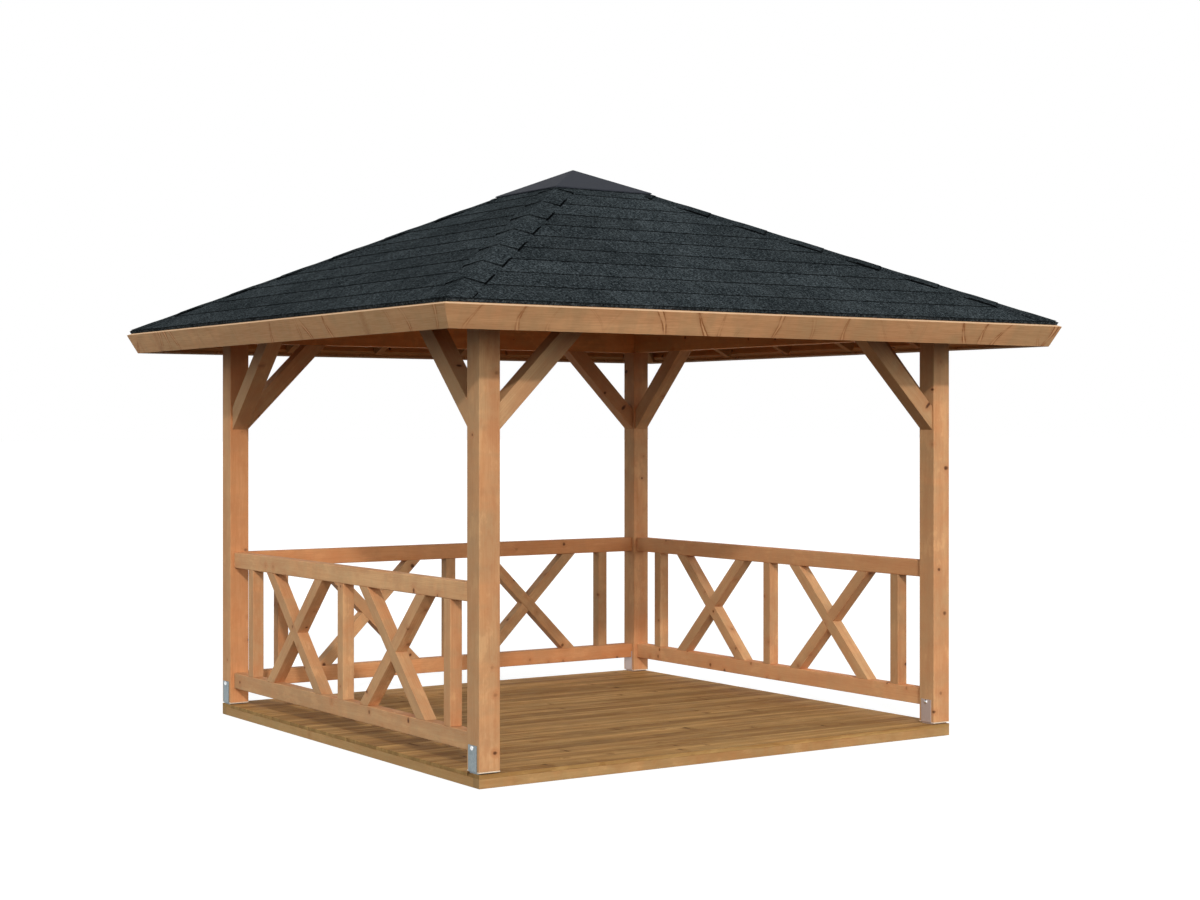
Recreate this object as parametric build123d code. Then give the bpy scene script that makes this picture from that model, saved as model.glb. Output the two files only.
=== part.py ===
from build123d import *
import os
from math import cos, radians, sin, sqrt, tan

# Square timber gazebo with a low pyramid roof, in millimetres.
# The origin is on the ground under the middle of the floor. +X is right, +Y is back and +Z is up.
# The front, towards -Y, is the open entrance. The other three sides have a balustrade.

# ---- floor ----
floor_side = 3110
deck_thickness = 20
joist_depth = 48
joist_width = 60
joist_count = 7

# ---- posts and their steel shoes ----
post_width = 120
post_length = 2192
post_rounding = 5
shoe_pad = 7
shoe_seat = 6
shoe_plate = 5
shoe_width = 80
shoe_height = 140

# ---- wall plates and braces ----
plate_width = 95
plate_depth = 145
brace_width = 95
brace_depth = 95
brace_reach = 528

# ---- balustrades ----
rail_thickness = 70
rail_depth = 95
bottom_rail_clearance = 99
top_rail_height = 928
baluster_width = 70
baluster_rounding = 6
cross_bar_width = 70
end_baluster_gap = 208

# ---- roof ----
roof_side = 4000
pitch = radians(25)
fascia_thickness = 22
fascia_depth = 124
rafter_width = 48
rafter_depth = 135
rafter_spacing = 632
rafters_per_side = 4
rafter_seat = 54
eaves_board_thickness = 48
eaves_board_depth = 110
hip_width = 60
hip_depth = 165
king_block_width = 110
king_block_height = 300
boarding_thickness = 14
shingle_thickness = 5
hip_strip_width = 200
hip_strip_thickness = 4
cap_side = 670
cap_thickness = 3

# ---- places worked out from the sizes above ----
deck_top = joist_depth + deck_thickness
post_base = deck_top + shoe_pad + shoe_seat
plate_base = post_base + post_length
plate_top = plate_base + plate_depth
post_centre = (floor_side - post_width) / 2
bay_width = floor_side - 2 * post_width
bottom_rail_base = deck_top + bottom_rail_clearance
bottom_rail_top = bottom_rail_base + rail_depth
top_rail_top = deck_top + top_rail_height
top_rail_base = top_rail_top - rail_depth
panel_height = top_rail_base - bottom_rail_top
panel_middle = (top_rail_base + bottom_rail_top) / 2
end_baluster_x = bay_width / 2 - end_baluster_gap - baluster_width / 2
roofing_rise = boarding_thickness + shingle_thickness
# The rafters' notches sit on the plates, which sets the height of the fascia's outer top edge.
notch_end = post_centre + plate_width / 2 - rafter_seat
eave_height = plate_top + rafter_depth / cos(pitch) - (roof_side / 2 - notch_end) * tan(pitch)
rafter_end = fascia_thickness + eaves_board_thickness
far = 2 * roof_side

sides = {"back": 0, "left": 90, "front": 180, "right": 270}
corners = {
    "back_left": (-1, 1),
    "back_right": (1, 1),
    "front_left": (-1, -1),
    "front_right": (1, -1),
}


def save(name, *pieces):
    """Writes the pieces as one named file."""
    solids = [solid for piece in pieces for solid in piece.solids()]
    export_step(Compound(solids), f"parts/{name}.step")


def bar(x_size, y_size, z_size, x=0, y=0, z=0):
    """A box centred on x and y that stands on z."""
    return Pos(x, y, z) * Box(x_size, y_size, z_size, align=(Align.CENTER, Align.CENTER, Align.MIN))


def rounded(piece, axis, radius):
    """The piece with its long edges, those along the axis, rounded."""
    return fillet(piece.edges().filter_by(axis), radius)


def turned(piece, side):
    """A piece made for the back, turned round to the named side."""
    return Rot(0, 0, sides[side]) * piece


def upright_profile(points, width, x=0):
    """A solid of the given width across X whose outline is a list of (y, z) points."""
    return Pos(x, 0, 0) * extrude(Plane.YZ * Polygon(*points, align=None), width / 2, both=True)


def side_wedge(setback):
    """The quarter of the plan that faces the back, its diagonal edges moved in by a setback."""
    outline = Polygon((0, setback), (far, setback + far), (-far, setback + far), align=None)
    return extrude(outline, far)


# ---- roof geometry ----
# A point of the roof is given by how far up the slope it lies from the fascia's outer face,
# and by its rise above the rafters' top faces, square to the slope.


def roof_point(inward, rise):
    """The distance from the roof's centre line, and the height, of a point of the roof."""
    distance = roof_side / 2 - inward * cos(pitch) + rise * sin(pitch)
    height = eave_height + inward * sin(pitch) + rise * cos(pitch)
    return distance, height


def roof_height(distance, rise):
    """The height of a plane of the roof at a distance from the centre line."""
    return eave_height + (roof_side / 2 - distance) * tan(pitch) + rise / cos(pitch)


def slab(inward, high, low):
    """Outline of a layer from its lower edge up to the ridge point, between two rises."""
    return [
        roof_point(inward, high),
        (0, roof_height(0, high)),
        (0, roof_height(0, low)),
        roof_point(inward, low),
    ]


def pyramid(inward, rise, base):
    """The whole space under a plane of the roof, its eaves square to the slope, down to a height."""
    distance, height = roof_point(inward, rise)
    low_distance = distance - (height - base) * tan(pitch)
    outline = [
        (-distance, height),
        (0, roof_height(0, rise)),
        (distance, height),
        (low_distance, base),
        (-low_distance, base),
    ]
    tent = upright_profile(outline, far)
    return tent & Rot(0, 0, 90) * tent


# ---- floor ----


def deck():
    return bar(floor_side, floor_side, deck_thickness, z=joist_depth)


def end_joist(y_sign):
    return bar(floor_side, joist_width, joist_depth, y=y_sign * (floor_side - joist_width) / 2)


def floor_joists():
    """Joists from front to back between the two end joists, the middle one under the centre."""
    length = floor_side - 2 * joist_width
    spacing = (floor_side - joist_width) / (joist_count - 1)
    first = -(floor_side - joist_width) / 2
    return [bar(joist_width, length, joist_depth, x=first + i * spacing) for i in range(joist_count)]


# ---- posts ----


def post(x_sign, y_sign):
    column = bar(post_width, post_width, post_length, z=post_base)
    return Pos(x_sign * post_centre, y_sign * post_centre, 0) * rounded(column, Axis.Z, post_rounding)


def post_shoe(x_sign, y_sign):
    """A steel seat on a smaller pad, with a flange up each X face of the post."""
    seat_base = deck_top + shoe_pad
    pad = bar(post_width, shoe_width, shoe_pad, z=deck_top)
    seat = bar(post_width, post_width, shoe_seat, z=seat_base)
    block = bar(post_width + 2 * shoe_plate, shoe_width, shoe_height - shoe_pad, z=seat_base)
    inside = bar(post_width, shoe_width, shoe_height, z=post_base)
    return Pos(x_sign * post_centre, y_sign * post_centre, 0) * (pad + seat + (block - inside))


# ---- wall plates and braces ----


def long_plate(y_sign):
    """A plate over two posts, which runs on to the outer faces of the two short plates."""
    length = 2 * post_centre + plate_width
    return bar(length, plate_width, plate_depth, y=y_sign * post_centre, z=plate_base)


def short_plate(x_sign):
    length = 2 * post_centre - plate_width
    return bar(plate_width, length, plate_depth, x=x_sign * post_centre, z=plate_base)


def wall_plates():
    return [long_plate(1), long_plate(-1), short_plate(1), short_plate(-1)]


def brace_in_front_bay():
    """A brace at 45 degrees from the right face of the left post up to the underside of the plate."""
    end = brace_depth * sqrt(2)
    outline = Polygon(
        (0, plate_base - brace_reach),
        (brace_reach, plate_base),
        (brace_reach - end, plate_base),
        (0, plate_base - brace_reach + end),
        align=None,
    )
    stick = extrude(Plane.XZ * outline, brace_width / 2, both=True)
    return Pos(-bay_width / 2, -post_centre, 0) * stick


def braces(x_sign, y_sign):
    """The two braces of one post, one along each of the two plates that meet over it."""
    along_x = brace_in_front_bay()
    along_y = mirror(along_x, Plane(origin=(0, 0, 0), z_dir=(1, -1, 0)))
    pair = [along_x, along_y]
    if x_sign > 0:
        pair = [mirror(piece, Plane.YZ) for piece in pair]
    if y_sign > 0:
        pair = [mirror(piece, Plane.XZ) for piece in pair]
    return pair


# ---- balustrades, made for the back bay ----


def rail(base):
    stick = bar(bay_width, rail_thickness, rail_depth, y=post_centre, z=base)
    return rounded(stick, Axis.X, baluster_rounding)


def balusters():
    places = [-end_baluster_x, 0, end_baluster_x]
    stick = bar(baluster_width, baluster_width, panel_height, y=post_centre, z=bottom_rail_top)
    return [Pos(x, 0, 0) * rounded(stick, Axis.Z, baluster_rounding) for x in places]


def cross(x):
    """Two bars halved across each other at 45 degrees between the rails."""
    half_run = panel_height / 2
    half_end = cross_bar_width / sqrt(2)
    outline = Polygon(
        (-half_run - half_end, -half_run),
        (-half_run + half_end, -half_run),
        (half_run + half_end, half_run),
        (half_run - half_end, half_run),
        align=None,
    )
    rising = extrude(Plane.XZ * outline, cross_bar_width / 2, both=True)
    both = rising + mirror(rising, Plane.YZ)
    return Pos(x, post_centre, panel_middle) * both


def crosses():
    """One cross midway between the middle baluster and each end baluster."""
    return [cross(-end_baluster_x / 2), cross(end_baluster_x / 2)]


# ---- roof timbers ----


def jack_rafters(plates):
    """The rafters of the back slope, notched over the plate and cut against the hip rafters."""
    outline = slab(rafter_end, 0, -rafter_depth)
    between_hips = side_wedge(hip_width / sqrt(2))
    first = -rafter_spacing * (rafters_per_side - 1) / 2
    rafters = []
    for i in range(rafters_per_side):
        rafter = upright_profile(outline, rafter_width, first + i * rafter_spacing) & between_hips
        for plate in plates:
            rafter = rafter - plate
        rafters.append(rafter)
    return rafters


def hip_rafter(plates, under_roofing):
    """The hip towards the back right corner, from the king block to the corner of the fascia."""
    start = king_block_width / 2
    end = roof_side
    fall = tan(pitch) / sqrt(2)
    top = roof_height(0, 0)
    # The tail is cut level, so that it doesn't hang below the fascia.
    tail_base = roof_point(fascia_thickness, -fascia_depth)[1]
    tail_start = (top - hip_depth - tail_base) / fall
    outline = [
        (start, top),
        (start, top - start * fall - hip_depth),
        (tail_start, tail_base),
        (end, tail_base),
        (end, top),
    ]
    stick = Rot(0, 0, -45) * upright_profile(outline, hip_width)
    stick = stick & under_roofing
    for plate in plates:
        stick = stick - plate
    return stick


def king_block(under_roofing):
    """The square block that the four hips meet at, one of its faces towards each of them."""
    base = roof_height(0, 0) - king_block_height
    block = bar(king_block_width, king_block_width, king_block_height, z=base)
    return Rot(0, 0, 45) * block & under_roofing


def edge_board(inward, thickness, depth, setback):
    """A board along the back eave, square to the slope, its top flush with the rafters' tops."""
    outline = [
        roof_point(inward, 0),
        roof_point(inward, -depth),
        roof_point(inward + thickness, -depth),
        roof_point(inward + thickness, 0),
    ]
    return upright_profile(outline, far) & side_wedge(setback)


def fascia():
    return edge_board(0, fascia_thickness, fascia_depth, 0)


def eaves_board():
    """The board between the hips that the rafters end at, behind the fascia."""
    return edge_board(fascia_thickness, eaves_board_thickness, eaves_board_depth, hip_width / sqrt(2))


# ---- roof covering ----


def roof_boarding():
    outline = slab(fascia_thickness + shingle_thickness, boarding_thickness, 0)
    return upright_profile(outline, far) & side_wedge(0)


def shingle_cover():
    """The shingles of one slope as a sheet, turned down over the boarding's lower edge."""
    outline = slab(fascia_thickness, roofing_rise, 0)
    return (upright_profile(outline, far) & side_wedge(0)) - roof_boarding()


def hip_strips():
    """Folded strips along the four hips, from the eaves up to the cap."""
    base = eave_height - rafter_depth
    above = pyramid(fascia_thickness, roofing_rise + hip_strip_thickness, base)
    below = pyramid(fascia_thickness, roofing_rise, base)
    shell = above - below
    strips = []
    for turn in (45, 135, 225, 315):
        lane = Rot(0, 0, turn) * Pos(roof_side / 2, 0, 0) * Box(roof_side, hip_strip_width, far)
        strips.append((shell & lane) - Box(cap_side, cap_side, far))
    return strips


def apex_cap():
    """A pyramid of sheet metal over the shingles at the top."""
    base = eave_height - rafter_depth
    above = pyramid(fascia_thickness, roofing_rise + cap_thickness, base)
    below = pyramid(fascia_thickness, roofing_rise, base)
    return (above - below) & Box(cap_side, cap_side, far)


# ---- all the files ----

os.makedirs("parts", exist_ok=True)

save("deck", deck())
save("end_joists", end_joist(1), end_joist(-1))
save("floor_joists", *floor_joists())

shoes = [post_shoe(*signs) for signs in corners.values()]
save("post_shoes", *shoes)
for corner, signs in corners.items():
    save(f"{corner}_post", post(*signs))
    save(f"{corner}_braces", *braces(*signs))

save("front_back_plates", long_plate(1), long_plate(-1))
save("side_plates", short_plate(1), short_plate(-1))

for side in ("back", "left", "right"):
    low_rail = turned(rail(bottom_rail_base), side)
    for shoe in shoes:
        low_rail = low_rail - shoe
    save(f"{side}_bottom_rail", low_rail)
    save(f"{side}_top_rail", turned(rail(top_rail_base), side))
    save(f"{side}_balusters", *[turned(piece, side) for piece in balusters()])
    save(f"{side}_crosses", *[turned(piece, side) for piece in crosses()])

plates = wall_plates()
under_roofing = pyramid(fascia_thickness, 0, deck_top)
hip = hip_rafter(plates, under_roofing)
save("hip_rafters", *[turned(hip, side) for side in sides])
save("king_block", king_block(under_roofing))
save("eaves_boards", *[turned(eaves_board(), side) for side in sides])

jacks = jack_rafters(plates)
for side in sides:
    save(f"{side}_rafters", *[turned(piece, side) for piece in jacks])
    save(f"{side}_fascia", turned(fascia(), side))
    save(f"{side}_boarding", turned(roof_boarding(), side))
    save(f"{side}_shingles", turned(shingle_cover(), side))

save("hip_strips", *hip_strips())
save("apex_cap", apex_cap())
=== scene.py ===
import random
from math import asin, cos, pi, radians, sin, sqrt, tan

import bmesh
import bpy
from mathutils import Euler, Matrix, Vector


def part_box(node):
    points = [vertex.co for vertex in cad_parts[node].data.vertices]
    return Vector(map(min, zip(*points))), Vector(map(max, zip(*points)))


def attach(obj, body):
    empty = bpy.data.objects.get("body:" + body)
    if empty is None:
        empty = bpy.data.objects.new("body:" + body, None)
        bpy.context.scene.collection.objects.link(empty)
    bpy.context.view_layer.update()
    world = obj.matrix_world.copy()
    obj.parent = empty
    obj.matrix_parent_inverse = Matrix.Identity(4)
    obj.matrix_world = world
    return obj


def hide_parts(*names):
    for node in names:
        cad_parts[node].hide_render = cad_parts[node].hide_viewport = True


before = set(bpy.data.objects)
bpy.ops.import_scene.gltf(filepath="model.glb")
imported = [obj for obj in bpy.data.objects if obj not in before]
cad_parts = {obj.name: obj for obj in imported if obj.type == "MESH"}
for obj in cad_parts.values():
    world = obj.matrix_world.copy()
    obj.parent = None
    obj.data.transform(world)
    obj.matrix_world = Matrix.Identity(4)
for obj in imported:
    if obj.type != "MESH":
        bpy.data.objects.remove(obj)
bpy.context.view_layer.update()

# Looks of a square timber gazebo with a pyramid roof. All lengths are in metres.
# The origin is on the ground under the middle of the floor. +X is right, +Y is back and +Z is up.

# ---- sizes of the CAD model, from its boxes where they give them ----
fascia_thickness = 0.022
pitch = radians(25)
roof_half = -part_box("front_fascia")[0].y
eave_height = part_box("front_fascia")[1].z - fascia_thickness * sin(pitch)
deck_low, deck_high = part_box("deck")
cap_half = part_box("apex_cap")[1].x
post_low, post_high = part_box("front_left_post")
shoe_low, shoe_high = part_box("post_shoes")
cross_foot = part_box("back_bottom_rail")[1].z
cross_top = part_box("back_top_rail")[0].z
cross_low, cross_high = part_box("back_crosses")

# ---- timber ----
edge_easing = 0.0022
fascia_easing = 0.0015
sheltered_face = 1.2  # the eaves' inner faces look at the middle from further away than this
level_face = 0.7  # the least rise or fall of the normal of a face that looks up or down
pith_near = 0.085  # the pith is this far beside a stick's middle, or further by up to the range
pith_range = 0.065
ring_spacing = 0.0062
# Faces that look left or right are painted greyer, as if a cooler light fell on them from the side.
painted_side_grey = 0.8  # how much greyer the faces are that look left or right
stray_grey = 0.2
knots_along = 7.0  # places for knots in a metre, along a stick and round it
knots_around_board = 0.7
spike_spacing = 0.20
board_middle = 0.115  # how far the middle of a fascia is from its pith
cross_bar_width = 0.070
deck_board_count = 26
deck_board_gap = 0.0012
deck_board_easing = 0.0016
board_thickness = 0.014
boarding_start = 0.027
boarding_width = 0.1212
boarding_groove = 0.004
# Roof boards are lighter by this tone: painted light that lifts the shade under the roof.
boarding_painted_light_tone = 4.4
boarding_end_gap = 0.02
boarding_peak_gap = 0.01

# ---- shingles ----
shingle_layer = 0.005
shingle_edge = 0.022
course_start = 0.028
course_exposure = 0.1905
course_lap = 0.040
course_offsets = {"front": 0.110, "back": 0.05, "left": 0.17, "right": -0.12}
reach_under_cap = 0.12
tab_width = 0.450
tab_gap = (0.003, 0.008)
tab_sag = 0.0012
tab_lift = 0.0006
narrowest_tab = 0.02
hip_clearance = 0.010
strip_clearance = 0.001
starter_end = 0.12
starter_low = 0.001
starter_proud = 0.0005
starter_stack = 1.2
starter_tail = 0.0004
starter_fold = 0.02  # its folded edge stays out of the dark band along the lower edge of each tab
felt_thickness = 0.0005
felt_end = 0.02

# ---- hip caps ----
hip_cap_half_width = 0.100
hip_cap_exposure = 0.329
hip_cap_lap = 0.050
hip_cap_layer = 0.0045
hip_cap_sunk = 0.0015
hip_cap_seat = board_thickness + shingle_layer - hip_cap_sunk
hip_cap_skew = 0.004
hip_edge_lift = 0.006
hip_under_cap = 0.03
shortest_hip_cap = 0.02
hip_cap_folds = [-1.0, -0.5, -0.1, -0.03, 0.03, 0.1, 0.5, 1.0]  # in half widths from the hip
lifted_until = 0.55  # share of the length that lies on the cap below
lifted_fade = 0.2
# Dark strips beside the lifted edges of the hip caps: painted shade of the gap under each edge.
gap_shade_section = [(-0.004, 0.0), (0.005, 0.0), (0.005, 0.0025), (-0.004, 0.0035)]
gap_shade_start = 0.004
gap_shade_tone = -6.0

# ---- metal cap ----
cap_sheet = 0.0015
cap_lip = 0.007
cap_lift = 0.007
cap_clearance = 0.003
cap_fold = 0.002
cap_rim = 0.010
cap_ridge_easing = 0.005

# ---- post shoes ----
shoe_pad = 0.007
shoe_pad_inset = 0.004
shoe_pad_end = 0.001
shoe_seat = 0.006
shoe_plate = 0.005
shoe_width = 0.080
shoe_post_width = 0.120
shoe_bend = 0.006
shoe_easing = 0.0008
seat_clearance = 0.0003
bolt_rise = 0.1265
bolt_radius = 0.0130
bolt_dome = 0.0075
bolt_collar = 0.0015
bolt_sunk = 0.0004
disc_sides = 32

# ---- light ----
low_light = 1.64  # strength of the surround low down
horizon_share = 0.55  # of that, right at the horizon
horizon_end = 0.22
overhead_start, overhead_end = 0.28, 0.70
overhead_light = 0.45
front_light = 0.42  # how much brighter the front is
floor_bounce = 0.11  # grey of the floor in the light that it throws on the gazebo
floor_shade = 0.38  # grey of the floor as the camera sees it, which the shadow can darken
floor_glow = 0.80

rightward = Vector((1, 0, 0))
upward = Vector((0, 0, 1))
sides = {"back": 0, "left": 90, "front": 180, "right": 270}  # degrees that turn the back to each side


# ---- roof geometry ----


def roof_point(inward, rise):
    """Distance from the roof's centre line, and height, of a point that lies so far up the slope."""
    distance = roof_half - inward * cos(pitch) + rise * sin(pitch)
    height = eave_height + inward * sin(pitch) + rise * cos(pitch)
    return distance, height


def roof_height(distance, rise):
    """Height of a plane of the roof at a distance from the centre line."""
    return eave_height + (roof_half - distance) * tan(pitch) + rise / cos(pitch)


def turned(point, degrees):
    """A point turned about the vertical axis through the origin."""
    a = radians(degrees)
    x, y, z = point
    return Vector((x * cos(a) - y * sin(a), x * sin(a) + y * cos(a), z))


def on_slope(side, x, inward, rise):
    """A point of one slope: x along its eaves, then up the slope, then square to it."""
    distance, height = roof_point(inward, rise)
    return turned((x, distance, height), sides[side])


def slope_ways(side):
    """Directions along the eaves, up the slope and square to it."""
    ways = ((1, 0, 0), (0, -cos(pitch), sin(pitch)), (0, sin(pitch), cos(pitch)))
    return [turned(way, sides[side]) for way in ways]


def over_hip(along_hip, beside, rise, turn):
    """A point over a hip, so far out along it and beside it, on the slope that lies there."""
    point = turned((along_hip, beside, 0), turn)
    point.z = roof_height(max(abs(point.x), abs(point.y)), rise)
    return point


# ---- solids ----


def closed(bm):
    """The solid with all its faces turned outwards."""
    bmesh.ops.recalc_face_normals(bm, faces=bm.faces)
    return bm


def loft(first, second):
    """A closed solid between two outlines with as many points each."""
    bm = bmesh.new()
    a = [bm.verts.new(p) for p in first]
    b = [bm.verts.new(p) for p in second]
    count = len(a)
    bm.faces.new(a)
    bm.faces.new(list(reversed(b)))
    for i in range(count):
        j = (i + 1) % count
        bm.faces.new([a[j], a[i], b[i], b[j]])
    return closed(bm)


def slope_strip(side, section, inset=0.0):
    """A solid along a whole slope, mitred at the hips. Its section goes up the slope and square to it."""
    ends = []
    for hand in (-1, 1):
        ends.append([on_slope(side, hand * (roof_point(s, rise)[0] - inset), s, rise) for s, rise in section])
    return loft(*ends)


def grid_solid(top, bottom):
    """A closed sheet between two grids of points."""
    bm = bmesh.new()
    rows, columns = len(top), len(top[0])
    t = [[bm.verts.new(p) for p in row] for row in top]
    b = [[bm.verts.new(p) for p in row] for row in bottom]
    for i in range(rows - 1):
        for j in range(columns - 1):
            bm.faces.new([t[i][j], t[i][j + 1], t[i + 1][j + 1], t[i + 1][j]])
            bm.faces.new([b[i + 1][j], b[i + 1][j + 1], b[i][j + 1], b[i][j]])
    rim_t, rim_b = [
        grid[0] + [row[-1] for row in grid[1:]] + grid[-1][-2::-1] + [row[0] for row in grid[-2:0:-1]]
        for grid in (t, b)
    ]
    for i in range(len(rim_t)):
        j = (i + 1) % len(rim_t)
        bm.faces.new([rim_t[j], rim_t[i], rim_b[i], rim_b[j]])
    return closed(bm)


def ringed(rings):
    """A solid with faces from each ring of points to the next, and from the last to the first.

    A ring of one point is a tip, and there are no faces between two tips.
    """
    bm = bmesh.new()
    count = max(len(ring) for ring in rings)
    loops = [[bm.verts.new(p) for p in ring] * (count // len(ring)) for ring in rings]
    for k, first in enumerate(loops):
        second = loops[(k + 1) % len(loops)]
        for i in range(count):
            j = (i + 1) % count
            corners = dict.fromkeys((first[i], first[j], second[j], second[i]))
            if len(corners) > 2:
                bm.faces.new(list(corners))
    return closed(bm)


def rounded(bm, edges, width, segments):
    """Rounds some edges of a solid by a small width."""
    bmesh.ops.bevel(
        bm, geom=edges, offset=width, segments=segments, profile=0.5, affect="EDGES", clamp_overlap=True
    )


def ease(bm, width, segments=2, sharper_than=40):
    """Rounds the sharp edges of a solid."""
    sharp = [e for e in bm.edges if len(e.link_faces) == 2 and e.calc_face_angle(0) > radians(sharper_than)]
    rounded(bm, sharp, width, segments)


def cad_solids(node):
    """The solids of a CAD node, each as clean faces without the triangles."""
    bm = bmesh.new()
    bm.from_mesh(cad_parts[node].data)
    bmesh.ops.remove_doubles(bm, verts=bm.verts, dist=1e-5)
    bmesh.ops.dissolve_limit(bm, angle_limit=radians(1), verts=bm.verts, edges=bm.edges)
    seen = set()
    solids = []
    for start in bm.verts:
        if start in seen:
            continue
        group, stack = [], [start]
        seen.add(start)
        while stack:
            v = stack.pop()
            group.append(v)
            for e in v.link_edges:
                other = e.other_vert(v)
                if other not in seen:
                    seen.add(other)
                    stack.append(other)
        solid = bmesh.new()
        made = {v: solid.verts.new(v.co) for v in group}
        faces = {f for v in group for f in v.link_faces}
        for f in sorted(faces, key=lambda face: face.index):
            solid.faces.new([made[v] for v in f.verts])
        solids.append(closed(solid))
    bm.free()
    return solids


def long_way(bm):
    """Direction of a solid's longest edge, which its grain follows."""
    edge = max(bm.edges, key=lambda e: (round(e.calc_length(), 4), -e.verts[0].index))
    direction = (edge.verts[1].co - edge.verts[0].co).normalized()
    return -direction if direction.dot(Vector((1, 1.1, 1.2))) < 0 else direction


def wide_way(bm, along):
    """Direction square to the grain that the solid's widest long face looks in."""
    faces = [f for f in bm.faces if abs(f.normal.dot(along)) < 0.2]
    normal = max(faces, key=lambda f: round(f.calc_area(), 5)).normal
    return (normal - along * normal.dot(along)).normalized()


def face_kind(normal, along, centre, eaves):
    """What the wood shows on a face, from 0 along the grain to 1 across it.

    A board of the eaves has -1 on its top, painted pale as a highlight, 1 on its lower edge, painted darker
    as shade, and 2 on its sheltered inner face, painted lighter to lift the shade there.
    """
    if eaves and normal.z > level_face:
        return -1.0
    if eaves and normal.x * centre.x + normal.y * centre.y < -sheltered_face:
        return 2.0
    if eaves and normal.z < -level_face:
        return 1.0
    return abs(normal.dot(along)) ** 4


class Piece:
    """Gathers the solids of one object, with the way the grain runs in each of them."""

    def __init__(self, name):
        self.name = name
        self.draw = random.Random(name).uniform
        self.points = []
        self.faces = []
        self.on_points = {"grain_at": [], "stick": [], "girth": []}
        self.on_faces = {"end_grain_and_painted_light": [], "painted_side_and_stray_grey": []}

    def add(
        self, bm, along, across, tone=None, hue=None, origin=None, shift=True, pith_in_plane=False,
        eaves=False,
    ):
        """Adds a solid. Its grain runs along one direction, from its own place in the tree.

        Across is the way that a stick's widest face looks in, and for shingles the way up the slope.
        Without a shift, the grain starts at the origin.
        """
        third = along.cross(across)
        if origin is None:
            low = Vector([min(v.co[k] for v in bm.verts) for k in range(3)])
            high = Vector([max(v.co[k] for v in bm.verts) for k in range(3)])
            origin = (low + high) / 2
        own, pith, turn, start = 0.0, 0.0, 0.0, 0.0
        if shift:
            own = self.draw(0, 1)
            pith = pith_near + pith_range * own
            turn = pi / 2 if pith_in_plane else self.draw(0, 2 * pi)
            start = self.draw(0, 90)
        tone = self.draw(-1, 1) if tone is None else tone
        hue = self.draw(0, 1) if hue is None else hue
        spans = [[v.co.dot(way) for v in bm.verts] for way in (across, third)]
        girth = sum(max(span) - min(span) for span in spans) / 4
        first = len(self.points)
        centre = sum((v.co for v in bm.verts), Vector()) / len(bm.verts)
        bm.verts.index_update()
        for v in bm.verts:
            local = v.co - origin
            u, a, b = local.dot(along), local.dot(across), local.dot(third)
            self.points.append(v.co.copy())
            place = (u + start, a * cos(turn) + b * sin(turn) + pith, b * cos(turn) - a * sin(turn))
            self.on_points["grain_at"].append(place)
            self.on_points["stick"].append((tone, hue, own))
            self.on_points["girth"].append(girth)
        for f in bm.faces:
            self.faces.append([first + v.index for v in f.verts])
            self.on_faces["end_grain_and_painted_light"].append(face_kind(f.normal, along, centre, eaves))
            self.on_faces["painted_side_and_stray_grey"].append(painted_side_grey * f.normal.x ** 2 + self.draw(0, stray_grey))
        bm.free()

    def build(self, material, nodes, smooth=None):
        """Makes the object with the given material. It stands for the named CAD nodes, whose parts it hides.
        """
        mesh = bpy.data.meshes.new(self.name)
        mesh.from_pydata(self.points, [], self.faces)
        for domain, values in (("POINT", self.on_points), ("FACE", self.on_faces)):
            for name, numbers in values.items():
                if isinstance(numbers[0], tuple):
                    layer = mesh.attributes.new(name, "FLOAT_VECTOR", domain)
                    layer.data.foreach_set("vector", [c for p in numbers for c in p])
                else:
                    layer = mesh.attributes.new(name, "FLOAT", domain)
                    layer.data.foreach_set("value", numbers)
        mesh.materials.append(material)
        obj = bpy.data.objects.new(self.name, mesh)
        bpy.context.scene.collection.objects.link(obj)
        if smooth:
            mesh.shade_smooth()
            mesh.set_sharp_from_angle(angle=radians(smooth))
            modifier = obj.modifiers.new("normals", "WEIGHTED_NORMAL")
            modifier.keep_sharp = True
            modifier.weight = 100
        mesh.validate()
        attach(obj, "root")
        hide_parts(*nodes)


# ---- colours and node graphs ----


def colour(red, green, blue):
    """A colour given as it looks, 0 to 255, as the linear values that the shader takes."""
    def linear(c):
        c = c / 255
        return c / 12.92 if c <= 0.04045 else ((c + 0.055) / 1.055) ** 2.4

    return (linear(red), linear(green), linear(blue), 1)


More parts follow.
